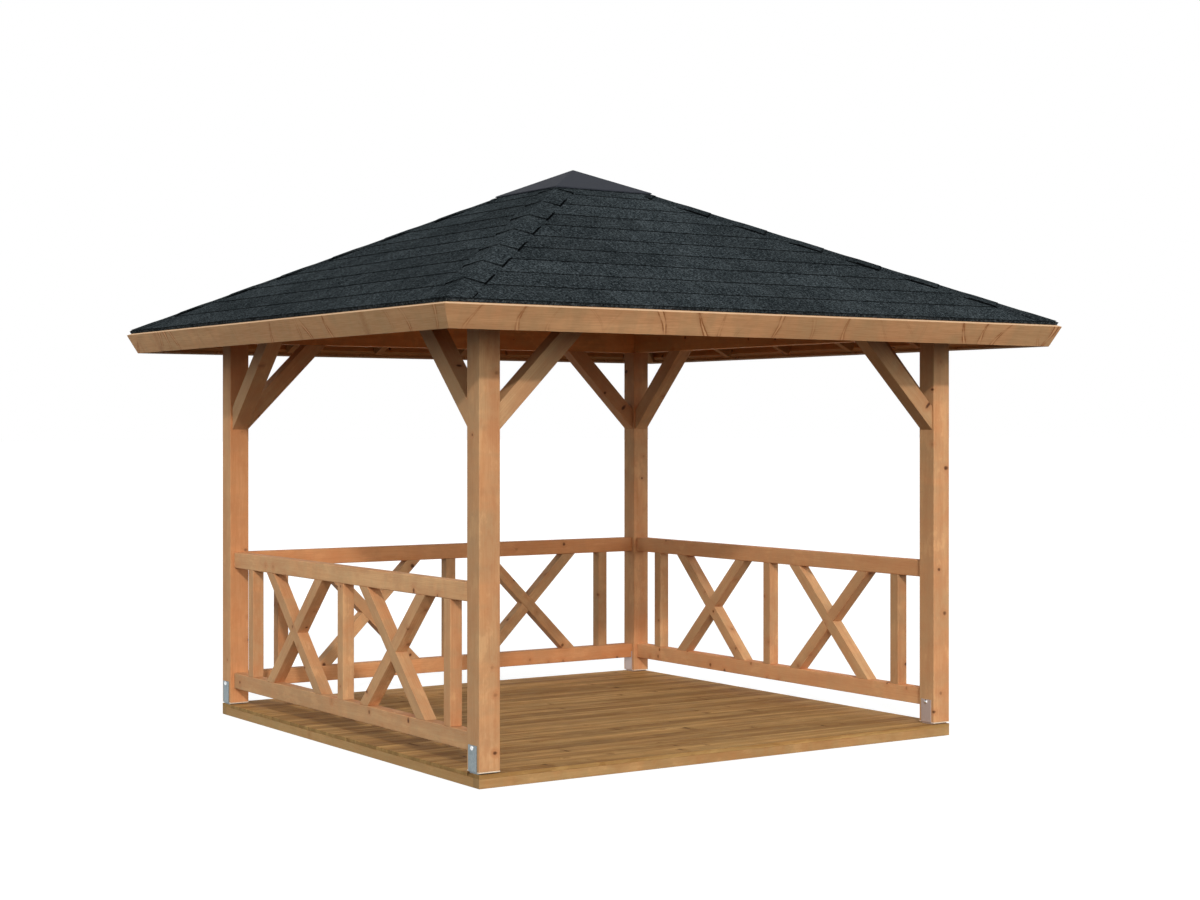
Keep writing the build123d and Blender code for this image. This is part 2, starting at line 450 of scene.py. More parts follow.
class Graph:
    """A new material or world, with its nodes made one call at a time."""

    def __init__(self, name, world=False):
        self.owner = (bpy.data.worlds if world else bpy.data.materials).new(name)
        self.owner.use_nodes = True
        self.nodes = self.owner.node_tree.nodes
        self.links = self.owner.node_tree.links
        self.nodes.clear()
        self.output = self.nodes.new("ShaderNodeOutput" + ("World" if world else "Material"))

    def put(self, node, socket, value):
        if isinstance(value, bpy.types.NodeSocket):
            self.links.new(value, node.inputs[socket])
        else:
            node.inputs[socket].default_value = value

    def made(self, kind, inputs=None, **settings):
        """All outputs of a new node."""
        node = self.nodes.new("ShaderNode" + kind)
        for key, value in settings.items():
            setattr(node, key, value)
        for socket, value in (inputs or {}).items():
            self.put(node, socket, value)
        return node.outputs

    def attribute(self, name, out="Vector"):
        return self.made("Attribute", attribute_type="GEOMETRY", attribute_name=name)[out]

    def place(self):
        return self.made("TexCoord")["Object"]

    def math(self, operation, a, b=0.0, c=0.0):
        return self.made("Math", {0: a, 1: b, 2: c}, operation=operation)[0]

    def plus(self, a, b):
        return self.math("ADD", a, b)

    def minus(self, a, b):
        return self.math("SUBTRACT", a, b)

    def times(self, *factors):
        product = factors[0]
        for factor in factors[1:]:
            product = self.math("MULTIPLY", product, factor)
        return product

    def split(self, vector):
        return self.made("SeparateXYZ", {0: vector})

    def split_colour(self, value):
        return self.made("SeparateColor", {0: value})

    def vector(self, x, y, z=0.0):
        return self.made("CombineXYZ", {0: x, 1: y, 2: z})[0]

    def scaled(self, vector, factors):
        return self.made("VectorMath", {0: vector, 1: factors}, operation="MULTIPLY")[0]

    def added(self, a, b):
        return self.made("VectorMath", {0: a, 1: b}, operation="ADD")[0]

    def noise(self, vector, scale=1.0, detail=2.0, roughness=0.5, out="Fac"):
        inputs = {"Vector": vector, "Scale": scale, "Detail": detail, "Roughness": roughness}
        return self.made("TexNoise", inputs)[out]

    def cells(self, dimensions, place, scale=1.0, randomness=1.0):
        socket = "W" if dimensions == "1D" else "Vector"
        inputs = {socket: place, "Scale": scale, "Randomness": randomness}
        return self.made("TexVoronoi", inputs, voronoi_dimensions=dimensions)

    def range(self, value, low, high, to_low=0.0, to_high=1.0, smooth=True):
        inputs = {"Value": value, "From Min": low, "From Max": high, "To Min": to_low, "To Max": to_high}
        kind = "SMOOTHSTEP" if smooth else "LINEAR"
        return self.made("MapRange", inputs, interpolation_type=kind)[0]

    def mix(self, factor, a, b, blend="MIX"):
        return self.made("Mix", {0: factor, 6: a, 7: b}, data_type="RGBA", blend_type=blend)[2]

    def layered(self, base, *layers):
        """A colour under others, each with its share."""
        for share, over in layers:
            base = self.mix(share, base, over)
        return base

    def shaded(self, base, shade):
        """A colour times one number."""
        return self.mix(1.0, base, self.vector(shade, shade, shade), "MULTIPLY")

    def finish(self, base, rough, height, bump, depth, gloss=0.5, metallic=0.0):
        """The material with its shader, and a bump of the given strength and depth."""
        normal = self.made("Bump", {"Strength": bump, "Distance": depth, "Height": height})[0]
        surface = {"Base Color": base, "Metallic": metallic, "Roughness": rough}
        surface |= {"Specular IOR Level": gloss, "Normal": normal}
        self.put(self.output, "Surface", self.made("BsdfPrincipled", surface)[0])
        return self.owner

    def seen(self):
        """1 for what the camera sees, also by way of gloss or glass, and 0 for the light on things."""
        path = self.made("LightPath")
        seen = self.math("MAXIMUM", path["Is Camera Ray"], path["Is Glossy Ray"])
        return self.math("MAXIMUM", seen, path["Is Transmission Ray"])


# ---- materials ----

warm_wood = colour(208, 134, 84)
# pale of the tops of the eaves' boards: a painted highlight
painted_top_highlight = colour(244, 206, 170)
knot_heart = colour(52, 30, 20)


def spike_knots(g, base, at, own, pale, deep, strength):
    """Knots cut lengthwise: bands that cross the board aslant, each paler inside two dark lines."""
    length, near, _ = at
    spot = g.plus(g.math("DIVIDE", length, spike_spacing), g.times(own, 50.0))
    cells = g.cells("1D", spot, randomness=0.95)
    lie, lean, size = g.split_colour(cells["Color"])
    off = g.times(g.minus(spot, cells["W"]), spike_spacing)
    across = g.minus(near, board_middle)
    slope = g.range(lie, 0.0, 1.0, -0.75, 0.75, smooth=False)
    bend = g.times(g.times(across, across), g.range(lean, 0.0, 1.0, -5.0, 5.0, smooth=False))
    off = g.minus(off, g.plus(g.times(across, slope), bend))
    rough = g.noise(g.vector(length, near, own), scale=28.0, detail=2.0)
    off = g.math("ABSOLUTE", g.plus(off, g.times(g.minus(rough, 0.5), 0.012)))
    # Each knot starts thin at one edge of the board and widens towards the other.
    widening = g.times(across, g.range(lean, 0.45, 0.55, -7.0, 7.0))
    half = g.times(g.plus(widening, 0.75), g.range(size, 0.0, 1.0, 0.004, 0.013, smooth=False))
    beyond = g.minus(off, half)
    line = g.range(g.math("ABSOLUTE", beyond), 0.0075, 0.0005)
    inside = g.math("LESS_THAN", off, half)
    around = g.range(beyond, 0.030, 0.0)
    faint = g.noise(g.vector(length, g.times(near, 2.0), own), scale=9.0)
    strong = g.times(g.range(size, 0.25, 0.85, 0.20, strength), g.range(faint, 0.38, 0.60, 0.25, 1.0))
    return g.layered(
        base,
        (g.times(around, strong, 0.24), deep),
        (g.times(inside, strong, 0.55), pale),
        (g.times(line, strong), deep),
    )


def round_knots(g, grain, at, own, amount, boxed):
    """Knots by the length and by the angle, about the stick's own middle or about the pith beside it.

    Gives the core of each knot, its heart and the halo round it.
    """
    length, near, wide = at
    if boxed:
        near = g.minus(near, g.math("MULTIPLY_ADD", own, pith_range, pith_near))
        around = g.times(g.attribute("girth", "Fac"), knots_along)
    else:
        around = knots_around_board
    polar = g.vector(g.times(length, knots_along), g.times(g.math("ARCTAN2", wide, near), around))
    cells = g.cells("2D", polar, randomness=0.9)
    chance, size, force = g.split_colour(cells["Color"])
    there = g.math("GREATER_THAN", chance, 1.0 - 0.42 * amount)
    # None is placed where the angle starts again.
    seam = g.minus(g.times(around, pi), g.math("ABSOLUTE", g.split(cells["Position"])[1]))
    there = g.times(there, g.math("GREATER_THAN", seam, 0.26))
    strong = g.range(force, 0.1, 0.9, 0.15, 1.0)
    size = g.range(size, 0.0, 1.0, 0.75, 1.45, smooth=False)
    ragged = g.times(g.noise(grain, scale=110.0, detail=3.0, roughness=0.7), 0.05)
    away = g.math("DIVIDE", g.plus(cells["Distance"], g.plus(ragged, -0.025)), size)
    core = g.times(g.range(away, 0.085, 0.040), there, strong)
    heart = g.times(g.range(away, 0.045, 0.010), core)
    halo = g.times(g.range(away, 0.26, 0.05), there)
    return core, heart, halo


def growth(g, grain, halo, streak_scale):
    """Rings about the pith, streaks, broad bands and fibres. They wander, and they swing round each knot."""
    wander = g.noise(g.scaled(grain, (0.9, 5.0, 5.0)), detail=1.0, out="Color")
    wander = g.scaled(g.added(wander, (-0.5, -0.5, -0.5)), (0.0, 0.035, 0.035))
    swing = g.vector(0.0, g.times(halo, 0.012), g.times(halo, 0.008))
    bent = g.added(g.added(grain, wander), swing)
    _, near, wide = g.split(bent)
    square = g.plus(g.math("POWER", near, 2.0), g.math("POWER", wide, 2.0))
    ring = g.range(g.math("FRACT", g.times(g.math("SQRT", square), 1 / ring_spacing)), 0.35, 0.98)
    streak = g.noise(g.scaled(bent, (0.8, streak_scale, streak_scale)), detail=3.0, roughness=0.6)
    streak = g.range(streak, 0.36, 0.66)
    broad = g.range(g.noise(g.scaled(bent, (0.55, 5.5, 5.5)), detail=2.0), 0.38, 0.62)
    fibre = g.noise(g.scaled(bent, (7.0, 300.0, 300.0)), detail=2.0, roughness=0.6)
    return ring, streak, broad, fibre


def wood(
    name, pale, mid, deep, grey, knot=(86, 46, 26), streak_scale=20.0, spikes=0.0, knots=1.0,
    contrast=1.0, figure=1.0, mottling=1.0, boxed=True, gloss=0.14,
):
    """Sawn softwood: growth rings about the pith, fibres and streaks along the grain, and knots."""
    pale, mid, deep, grey, knot = [colour(*tone) for tone in (pale, mid, deep, grey, knot)]
    g = Graph(name)
    grain = g.attribute("grain_at")
    tone, hue, own = g.split(g.attribute("stick"))
    end = g.attribute("end_grain_and_painted_light", "Fac")
    # Faces that look left or right are painted greyer, as if a cooler light fell on them. Every face is also
    # a little greyer at random.
    greyer = g.attribute("painted_side_and_stray_grey", "Fac")
    at = g.split(grain)
    core, heart, halo = round_knots(g, grain, at, own, knots, boxed)
    ring, streak, broad, fibre = growth(g, grain, halo, streak_scale)

    # Greyer patches that lie across the grain: a painted sheen, as planed faces shimmer.
    patch = g.range(g.noise(g.scaled(grain, (11.0, 5.0, 5.0)), detail=3.0, roughness=0.6), 0.40, 0.66)
    blotch = g.range(g.noise(grain, scale=2.6, detail=3.0, roughness=0.6), 0.42, 0.66)
    mottle = g.noise(g.scaled(grain, (5.0, 9.0, 9.0)), detail=4.0, roughness=0.7)
    warmer = g.times(g.range(hue, 0.0, -1.0, 0.0, 0.60), g.math("MULTIPLY_ADD", greyer, -0.75, 1.0))
    base = g.layered(
        pale,
        (g.times(streak, 0.80 * contrast), mid),
        (g.times(broad, 0.50 * contrast), deep),
        (g.times(ring, 0.22 * contrast), deep),
        (g.times(blotch, 0.42 * figure), grey),
        (g.times(patch, 0.34 * figure), grey),
        (g.range(mottle, 0.49, 0.64, 0.0, 0.32 * mottling), deep),
        (g.range(mottle, 0.47, 0.34, 0.0, 0.50 * mottling), pale),
        (g.range(hue, 0.45, 1.0, 0.0, 0.40 * figure), grey),
        (g.times(greyer, 0.50), grey),
        (warmer, warm_wood),
        (g.range(fibre, 0.35, 0.70, 0.0, 0.26), deep),
    )
    if spikes:
        base = spike_knots(g, base, at, own, pale, deep, spikes)
    base = g.layered(
        base,
        (g.times(halo, 0.35), deep),
        (g.times(core, 0.80), knot),
        (g.times(heart, 0.55), knot_heart),
        (g.times(g.range(end, 0.0, -1.0), 0.75), painted_top_highlight),
    )
    # End grain is a little darker. On the eaves' boards the lower faces are painted darker as shade, and the
    # inner faces lighter to lift the shade there.
    shade = g.math("MULTIPLY_ADD", tone, 0.08, 0.98)
    shade = g.times(shade, g.range(end, 0.0, 1.0, 1.0, 0.80), g.range(end, 1.0, 2.0, 1.0, 1.70))
    base = g.shaded(base, shade)
    height = g.plus(g.times(fibre, 0.6), g.times(ring, -0.35))
    height = g.plus(height, g.times(core, -0.5))
    rough = g.range(fibre, 0.3, 0.7, 0.58, 0.76, smooth=False)
    return g.finish(base, rough, height, bump=0.35, depth=0.0008, gloss=gloss)


def shingle_material():
    """Bitumen shingles with slate granules, darker in a band along the lower edge of each tab."""
    g = Graph("shingles")
    place = g.place()
    tone = g.split(g.attribute("stick"))[0]
    from_edge = g.split(g.attribute("grain_at"))[1]
    granule = g.noise(place, scale=420.0, detail=2.0, roughness=0.7)
    speck = g.noise(place, scale=85.0, detail=4.0, roughness=0.85)
    patch = g.range(g.noise(place, scale=6.5, detail=3.0, roughness=0.6), 0.35, 0.68)
    base = g.layered(
        colour(34, 39, 42),
        (patch, colour(49, 54, 57)),
        (g.range(speck, 0.50, 0.64, 0.0, 1.0), colour(85, 92, 97)),
        (g.range(speck, 0.50, 0.38, 0.0, 1.0), colour(6, 8, 10)),
        (g.range(granule, 0.52, 0.70, 0.0, 0.35), colour(88, 96, 102)),
    )
    shade = g.math("MAXIMUM", g.math("MULTIPLY_ADD", tone, 0.15, 1.0), 0.08)
    base = g.shaded(base, g.times(shade, g.range(from_edge, 0.002, 0.011, 0.30, 1.0)))
    height = g.plus(speck, g.times(granule, 0.8))
    rough = g.range(speck, 0.3, 0.7, 0.95, 0.85)
    return g.finish(base, rough, height, bump=0.7, depth=0.002, gloss=0.0)


def painted_metal():
    """Coated sheet metal with a faint mottle."""
    g = Graph("cap_sheet")
    place = g.place()
    mottle = g.noise(place, scale=26.0, detail=4.0, roughness=0.6)
    fine = g.noise(place, scale=420.0, detail=2.0)
    base = g.mix(g.range(mottle, 0.35, 0.65), colour(49, 51, 58), colour(55, 57, 64))
    rough = g.range(mottle, 0.3, 0.7, 0.56, 0.68)
    return g.finish(base, rough, fine, bump=0.12, depth=0.0004, gloss=0.02)


def zinc():
    """Galvanised steel with its spangle, and a pale pink on the shoes on the right: a painted reflection of
    the wood.
    """
    g = Graph("zinc")
    place = g.place()
    pick = g.split_colour(g.cells("3D", place, scale=130.0)["Color"])
    cloud = g.noise(place, scale=40.0, detail=3.0)
    painted_reflection = g.split(g.attribute("stick"))[0]
    base = g.layered(
        colour(130, 141, 146),
        (pick[0], colour(146, 157, 162)),
        (g.range(cloud, 0.45, 0.75, 0.0, 0.5), colour(120, 131, 137)),
        (g.times(painted_reflection, 0.65), colour(214, 188, 180)),
    )
    rough = g.range(pick[1], 0.0, 1.0, 0.36, 0.50)
    return g.finish(base, rough, cloud, bump=0.1, depth=0.0005, metallic=0.4)


def clouded_steel(name, darker, lighter, cloud_scale, roughness, metallic):
    """Plated steel, a little cloudy in its colour and its gloss."""
    g = Graph(name)
    cloud = g.noise(g.place(), scale=cloud_scale, detail=3.0)
    base = g.mix(g.range(cloud, 0.35, 0.65), darker, lighter)
    rough = g.range(cloud, 0.3, 0.7, *roughness)
    return g.finish(base, rough, cloud, bump=0.05, depth=0.0003, metallic=metallic)


def painted_highlight_steel():
    """Pale warm steel of the seats: a painted highlight, so that each seat shows as a bright line under its
    post.
    """
    tones = (colour(232, 206, 178), colour(244, 220, 196))
    return clouded_steel("painted_highlight_steel", *tones, cloud_scale=60.0, roughness=(0.40, 0.50), metallic=0.15)


def bright_steel():
    """Smooth plated steel of the bolts."""
    tones = (colour(214, 219, 222), colour(236, 239, 240))
    return clouded_steel("bright_steel", *tones, cloud_scale=160.0, roughness=(0.16, 0.26), metallic=1.0)


def make_woods():
    """The kinds of wood on the gazebo. Each has a pale, a middle, a deep and a grey tone."""
    return {
        "frame": wood(
            "frame_wood",
            (222, 172, 124), (208, 148, 100), (176, 110, 70), (170, 140, 104),
            knots=1.25,
        ),
        "roof": wood(
            "roof_wood",
            (212, 154, 100), (196, 132, 78), (170, 102, 56), (158, 122, 80),
            gloss=0.04,
        ),
        "fascia": wood(
            "fascia_wood",
            (220, 166, 120), (202, 142, 97), (140, 84, 48), (168, 138, 100),
            streak_scale=16.0, spikes=1.0, knots=0.35, contrast=0.60, figure=1.05, mottling=0.3, boxed=False,
        ),
        "deck": wood(
            "deck_wood",
            (224, 176, 112), (184, 136, 82), (124, 82, 42), (158, 132, 88),
            knot=(70, 44, 22), streak_scale=26.0, knots=0.5, contrast=1.30, figure=0.5, mottling=0.45,
            boxed=False, gloss=0.04,
        ),
        "rim": wood(
            "rim_wood",
            (204, 158, 106), (186, 134, 84), (156, 104, 60), (156, 132, 90),
        ),
        "boarding": wood(
            "boarding_wood",
            (206, 150, 102), (190, 128, 82), (164, 100, 60), (160, 122, 84),
            boxed=False, gloss=0.04,
        ),
    }


# ---- sub-parts ----

# Hue and tone of some timbers, or the tones of their sticks in front and of those behind.
# More tone is lighter. A hue above 0.45 is greyer, one below 0 is warmer, and None leaves it to the draw.
# Some tones are the wood's own. Most are painted light, which lifts timbers in the shade under the roof, at
# the back and on the right.
timber_tones_and_painted_light = {
    "front_back_plates": (None, (3.0, 6.5)),
    "side_plates": (None, 6.0),
    "eaves_boards": (None, 2.2),
    "front_left_post": (0.2, 0.0),
    "front_right_post": (-0.2, 1.6),
    "back_left_post": (-0.8, 0.8),
    "back_right_post": (-0.4, 2.0),
    "front_left_braces": (1.0, 0.1),
    "front_right_braces": (1.0, 0.1),
    "back_right_braces": (-0.3, 1.4),
    "back_left_braces": (0.8, (0.6, 4.5)),
    "back_top_rail": (-0.8, 1.4),
    "left_top_rail": (0.4, 2.8),
    "back_bottom_rail": (-0.6, 0.7),
    "left_balusters": (0.3, 1.1),
    "right_top_rail": (-0.8, 2.6),
    "right_bottom_rail": (-0.7, 3.7),
}
cross_tones = {"back": 0.8, "left": 0.6, "right": 1.0}
cross_tone_range = 0.6


def timbers(node, material, slot, easing=edge_easing, **look):
    """The sticks of one CAD node with eased edges, each with its own grain."""
    piece = Piece("timber_" + node)
    hue, tones = timber_tones_and_painted_light.get(node, (None, None))
    middle = sum(p.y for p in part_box(node)) / 2
    for solid in cad_solids(node):
        along = long_way(solid)
        across = wide_way(solid, along)
        behind = min(v.co.y for v in solid.verts) >= middle
        tone = tones[behind] if isinstance(tones, tuple) else tones
        ease(solid, easing)
        piece.add(solid, along, across, tone=tone, hue=hue, **look)
    piece.build(material, [node], smooth=50)


def all_timbers(woods):
    """Every timber that keeps the shape of its CAD solid."""
    for node in ("front_back_plates", "side_plates"):
        timbers(node, woods["roof"], "frame_timber")
    corners = [f"{end}_{hand}" for end in ("front", "back") for hand in ("left", "right")]
    frame_nodes = [f"{corner}_braces" for corner in corners] + [f"{corner}_post" for corner in corners]
    for side in ("back", "left", "right"):
        frame_nodes += [f"{side}_bottom_rail", f"{side}_top_rail", f"{side}_balusters"]
    for node in frame_nodes:
        timbers(node, woods["frame"], "frame_timber")
    for node in ["hip_rafters", "king_block"] + [f"{side}_rafters" for side in sides]:
        timbers(node, woods["roof"], "roof_timber")
    # The eaves' boards and the fascias get painted light: a pale top, a darker lower face and a lighter inner
    # face.
    timbers("eaves_boards", woods["roof"], "roof_timber", eaves=True)
    fascia_look = {"easing": fascia_easing, "pith_in_plane": True, "eaves": True}
    for side in sides:
        timbers(f"{side}_fascia", woods["fascia"], "fascia_timber", **fascia_look)
    for node in ("end_joists", "floor_joists"):
        timbers(node, woods["rim"], "floor_timber")


def cross_arm(middle, sideways, outward, rise_sign, notch_side):
    """One bar of a cross, halved over the other. Its ends are cut level to meet the rails."""
    half = cross_bar_width / 2
    run = (cross_top - cross_foot) / 2 * sqrt(2)
    along = (sideways + upward * rise_sign).normalized()
    square = (sideways * -rise_sign + upward).normalized()

    def outline(w):
        shift = -w * rise_sign
        ends = (-run + shift, run + shift)
        profile = [
            (ends[0], -half), (-half, -half), (-half, 0.0), (half, 0.0), (half, -half), (ends[1], -half),
            (ends[1], half), (ends[0], half),
        ]
        return [middle + along * u + square * w + outward * (depth * notch_side) for u, depth in profile]

    return loft(outline(-half), outline(half)), along


def crosses(side, woods):
    """The two crosses of one balustrade."""
    piece = Piece(f"timber_{side}_crosses")
    sideways, outward = [turned(way, sides[side]) for way in ((1, 0, 0), (0, 1, 0))]
    depth = (cross_low.y + cross_high.y) / 2
    height = (cross_top + cross_foot) / 2
    centre = (cross_high.x + cross_low.x) / 2
    reach = (cross_high.x - cross_low.x) / 2
    arm_reach = (cross_top - cross_foot) / 2 + cross_bar_width / sqrt(2)
    for hand in (-1, 1):
        middle = turned((centre + hand * (reach - arm_reach), depth, height), sides[side])
        for rise_sign, notch_side in ((1, 1), (-1, -1)):
            solid, along = cross_arm(middle, sideways, outward, rise_sign, notch_side)
            ease(solid, edge_easing)
            tone = cross_tones[side] + piece.draw(-cross_tone_range, cross_tone_range)
            piece.add(solid, along, outward, tone=tone)
    piece.build(woods["frame"], [f"{side}_crosses"], smooth=50)


def deck_boards(woods):
    """Boards from side to side, with eased edges and a narrow joint between them."""
    piece = Piece("deck_boards")
    board_pitch = (deck_high.y - deck_low.y) / deck_board_count
    for i in range(deck_board_count):
        y0 = deck_low.y + i * board_pitch + (deck_board_gap / 2 if i else 0.0)
        y1 = deck_low.y + (i + 1) * board_pitch - (deck_board_gap / 2 if i < deck_board_count - 1 else 0.0)
        section = [(y0, deck_low.z), (y1, deck_low.z), (y1, deck_high.z), (y0, deck_high.z)]
        solid = loft(*[[Vector((x, y, z)) for y, z in section] for x in (deck_low.x, deck_high.x)])
        ease(solid, deck_board_easing)
        tone = piece.draw(-0.5, 0.5)
        piece.add(solid, rightward, upward, tone=tone, hue=piece.draw(0, 0.6))
    piece.build(woods["deck"], ["deck"], smooth=50)


def roof_boards(side, woods):
    """Boards parallel to the eaves, grooved below, and mitred along the hips."""
    piece = Piece(f"{side}_roof_boards")
    along, _, square = slope_ways(side)
    top = roof_half / cos(pitch)
    inward = boarding_start
    while inward < top - boarding_end_gap:
        upper = min(inward + boarding_width, top - boarding_peak_gap)
        g = boarding_groove
        t = board_thickness
        section = [(inward, g), (inward + g, 0.0), (upper - g, 0.0), (upper, g), (upper, t), (inward, t)]
        if upper - inward > 3 * g:
            tone = boarding_painted_light_tone + piece.draw(-1, 1)
            piece.add(slope_strip(side, section), along, square, tone=tone)
        inward = upper
    piece.build(woods["boarding"], [f"{side}_boarding"])


def clipped(outline, limit):
    """The part of an outline where limit(point) isn't negative."""
    kept = []
    for i, p in enumerate(outline):
        q = outline[(i + 1) % len(outline)]
        a, b = limit(p), limit(q)
        if a >= 0:
            kept.append(p)
        if (a >= 0) != (b >= 0):
            share = a / (a - b)
            kept.append((p[0] + (q[0] - p[0]) * share, p[1] + (q[1] - p[1]) * share))
    return kept


def shingle_tab(piece, side, ends, low, length, stack, thickness):
    """One tab between two places along the eaves, cut off along the hips. It may come to nothing there."""
    sag = piece.draw(-tab_sag, tab_sag)
    lift = piece.draw(0.0, tab_lift)
    x0, x1 = ends
    outline = [(x0, low + sag), (x1, low - sag), (x1, low + length), (x0, low + length)]
    for hand in (-1, 1):
        outline = clipped(outline, lambda p: roof_half - hip_clearance - p[1] * cos(pitch) + hand * p[0])
    across = [x for x, _ in outline]
    if len(outline) < 3 or max(across) - min(across) < narrowest_tab:
        return

    def surface(extra):
        points = []
        for x, s in outline:
            share = 1 - (s - low) / length
            points.append(on_slope(side, x, s, board_thickness + (stack + lift) * share + extra))
        return points

    along, up_slope, _ = slope_ways(side)
    origin = on_slope(side, 0.0, low, board_thickness)
    piece.add(loft(surface(thickness), surface(0.0)), along, up_slope, origin=origin, shift=False)


def shingle_course(piece, side, low, exposure, offset, thickness):
    """One course of tabs. Each lies on the course below at its lower edge and on the boards above."""
    length = exposure + course_lap
    stack = thickness * length / exposure
    reach = roof_half - low * cos(pitch)
    first = -int(reach / tab_width + 2)
    for i in range(first, -first + 1):
        x0 = offset + i * tab_width + piece.draw(*tab_gap) / 2
        x1 = offset + (i + 1) * tab_width - piece.draw(*tab_gap) / 2
        shingle_tab(piece, side, (x0, x1), low, length, stack, thickness)


def shingle_ground(piece, side, thickness):
    """The folded starter strip over the boards' lower edge, and the felt, dark in the joints of the tabs."""
    along, up_slope, _ = slope_ways(side)
    edge = shingle_edge + starter_proud
    board = board_thickness
    starter = [
        (edge, starter_low), (edge, board + thickness * starter_stack), (starter_end, board + starter_tail),
        (starter_end, board), (boarding_start, board), (boarding_start, starter_low),
    ]
    top = roof_half / cos(pitch) - felt_end
    felt = [(boarding_start, board), (boarding_start, board + felt_thickness)]
    felt += [(top, board + felt_thickness), (top, board)]
    origin = on_slope(side, 0.0, edge - starter_fold, board)
    for section, tone in ((starter, -0.8), (felt, -5.0)):
        strip = slope_strip(side, section, strip_clearance)
        piece.add(strip, along, up_slope, tone=tone, origin=origin, shift=False)


def shingles(side, material):
    """The tabbed courses of one slope, with the strips under them."""
    piece = Piece(f"{side}_shingle_courses")
    thickness = shingle_layer / (1 + (course_exposure + course_lap) / course_exposure)
    shingle_ground(piece, side, thickness)
    offset = course_offsets[side]
    low = course_start + course_exposure
    shingle_course(piece, side, shingle_edge, low - shingle_edge, offset, thickness)
    row = 1
    while low <= (roof_half - cap_half) / cos(pitch) + reach_under_cap:
        half_tab = tab_width / 2 if row % 2 else 0.0
        shingle_course(piece, side, low, course_exposure, offset + half_tab, thickness)
        row += 1
        low = course_start + row * course_exposure
    piece.build(material, [f"{side}_shingles"])


def hip_cap(piece, turn, start, end, thickness, first):
    """One folded cap, and a dark strip beside the lifted half of each of its side edges: painted shade of the
    gap under the edge.
    """
    stack = thickness * (hip_cap_exposure + hip_cap_lap) / hip_cap_exposure
    skew = piece.draw(-hip_cap_skew, hip_cap_skew)
    lift = hip_edge_lift * piece.draw(0.7, 1.1)
    width = hip_cap_half_width * piece.draw(0.97, 1.02)

    def surface(extra):
        grid = []
        for q in (0.0, lifted_until - lifted_fade, lifted_until, 1.0):
            proud = min(1.0, max(0.0, (lifted_until - q) / lifted_fade))
            line = []
            for c in hip_cap_folds:
                low = start - abs(c * width) if first else start + skew * c
                flare = 0.0 if first else proud * abs(c) * lift
                rise = hip_cap_seat + stack * proud + flare + extra
                line.append(over_hip(low + (end - low) * q, c * width, rise, turn))
            grid.append(line)
        return grid

    # The hips at the left back and the right front corners are painted a little darker as shade.
    tone = piece.draw(-0.8, 0.8) - (1.3 if turn in (135, 315) else 0.0)
    look = {"origin": turned((start, 0, 0), turn), "shift": False}
    along = turned((0, 1, 0), turn)
    inward = turned((-1, 0, 0), turn)
    piece.add(grid_solid(surface(thickness), surface(0.0)), along, inward, tone=tone, **look)
    gap_shade_ends = (start - (width if first else gap_shade_start), (start + end) / 2)
    for hand in (-1, 1):
        ends = [
            [over_hip(d, hand * (width + w), hip_cap_seat + rise, turn) for w, rise in gap_shade_section]
            for d in gap_shade_ends
        ]
        piece.add(loft(*ends), along, inward, tone=gap_shade_tone, **look)


def hip_caps(material):
    """Folded pieces that lap each other up each hip, their lower ends standing a little proud."""
    piece = Piece("hip_shingle_caps")
    corner = (roof_half - shingle_edge * cos(pitch)) * sqrt(2)
    cap_corner = cap_half * sqrt(2)
    length = hip_cap_exposure + hip_cap_lap
    thickness = hip_cap_layer / (1 + length / hip_cap_exposure)
    for turn in (45, 135, 225, 315):
        start = corner
        while start > cap_corner + shortest_hip_cap:
            end = max(start - length, cap_corner - hip_under_cap)
            hip_cap(piece, turn, start, end, thickness, first=start == corner)
            start -= hip_cap_exposure
    piece.build(material, ["hip_strips"])


def apex_cap(material):
    """A folded pyramid of sheet metal with its edges turned down."""
    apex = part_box("apex_cap")[1].z
    edge = roof_height(cap_half, board_thickness + shingle_layer + cap_clearance + cap_lift)
    inner = cap_half - cap_sheet
    rim = cap_half - cap_rim
    rim_height = edge + cap_rim * tan(pitch)
    section = [
        (cap_half, edge - cap_lip), (cap_half, edge - cap_fold), (cap_half - cap_fold, edge),
        (rim, rim_height), (0.0, apex), (0.0, apex - cap_sheet), (rim, rim_height - cap_sheet),
        (inner - cap_fold / 2, edge - cap_sheet), (inner, edge - cap_lip),
    ]
    corners = ((-1, -1), (1, -1), (1, 1), (-1, 1))
    bm = ringed([[(x * h, y * h, z) for x, y in corners] if h else [(0, 0, z)] for h, z in section])
    rounded(bm, [e for e in bm.edges if is_cap_ridge(e, apex)], cap_ridge_easing, segments=3)
    piece = Piece("cap_sheet_metal")
    piece.add(bm, rightward, upward)
    piece.build(material, ["apex_cap"], smooth=30)


def is_cap_ridge(edge, apex):
    """Whether an edge of the metal cap is an outer ridge, which runs aslant up to the apex."""
    span = edge.verts[0].co - edge.verts[1].co
    slanting = min(abs(span.x), abs(span.y)) > cap_rim
    return slanting and max(v.co.z for v in edge.verts) > apex - cap_sheet / 2


def disc_solid(section, centre, outward):
    """A solid turned about a level axis, from (radius, height) points that start and end at radius 0."""
    level = upward.cross(outward).normalized()
    upright = outward.cross(level)
    angles = [2 * pi * k / disc_sides for k in range(disc_sides)]
    rings = []
    for radius, height in section:
        middle = centre + outward * height
        rim = [middle + level * radius * cos(a) + upright * radius * sin(a) for a in angles]
        rings.append(rim if radius else [middle])
    return ringed(rings)


def shoe_places():
    """The middle of each post on the floor."""
    x = abs(post_low.x + post_high.x) / 2
    y = abs(post_low.y + post_high.y) / 2
    return [Vector((sx * x, sy * y, shoe_low.z)) for sx in (-1, 1) for sy in (-1, 1)]


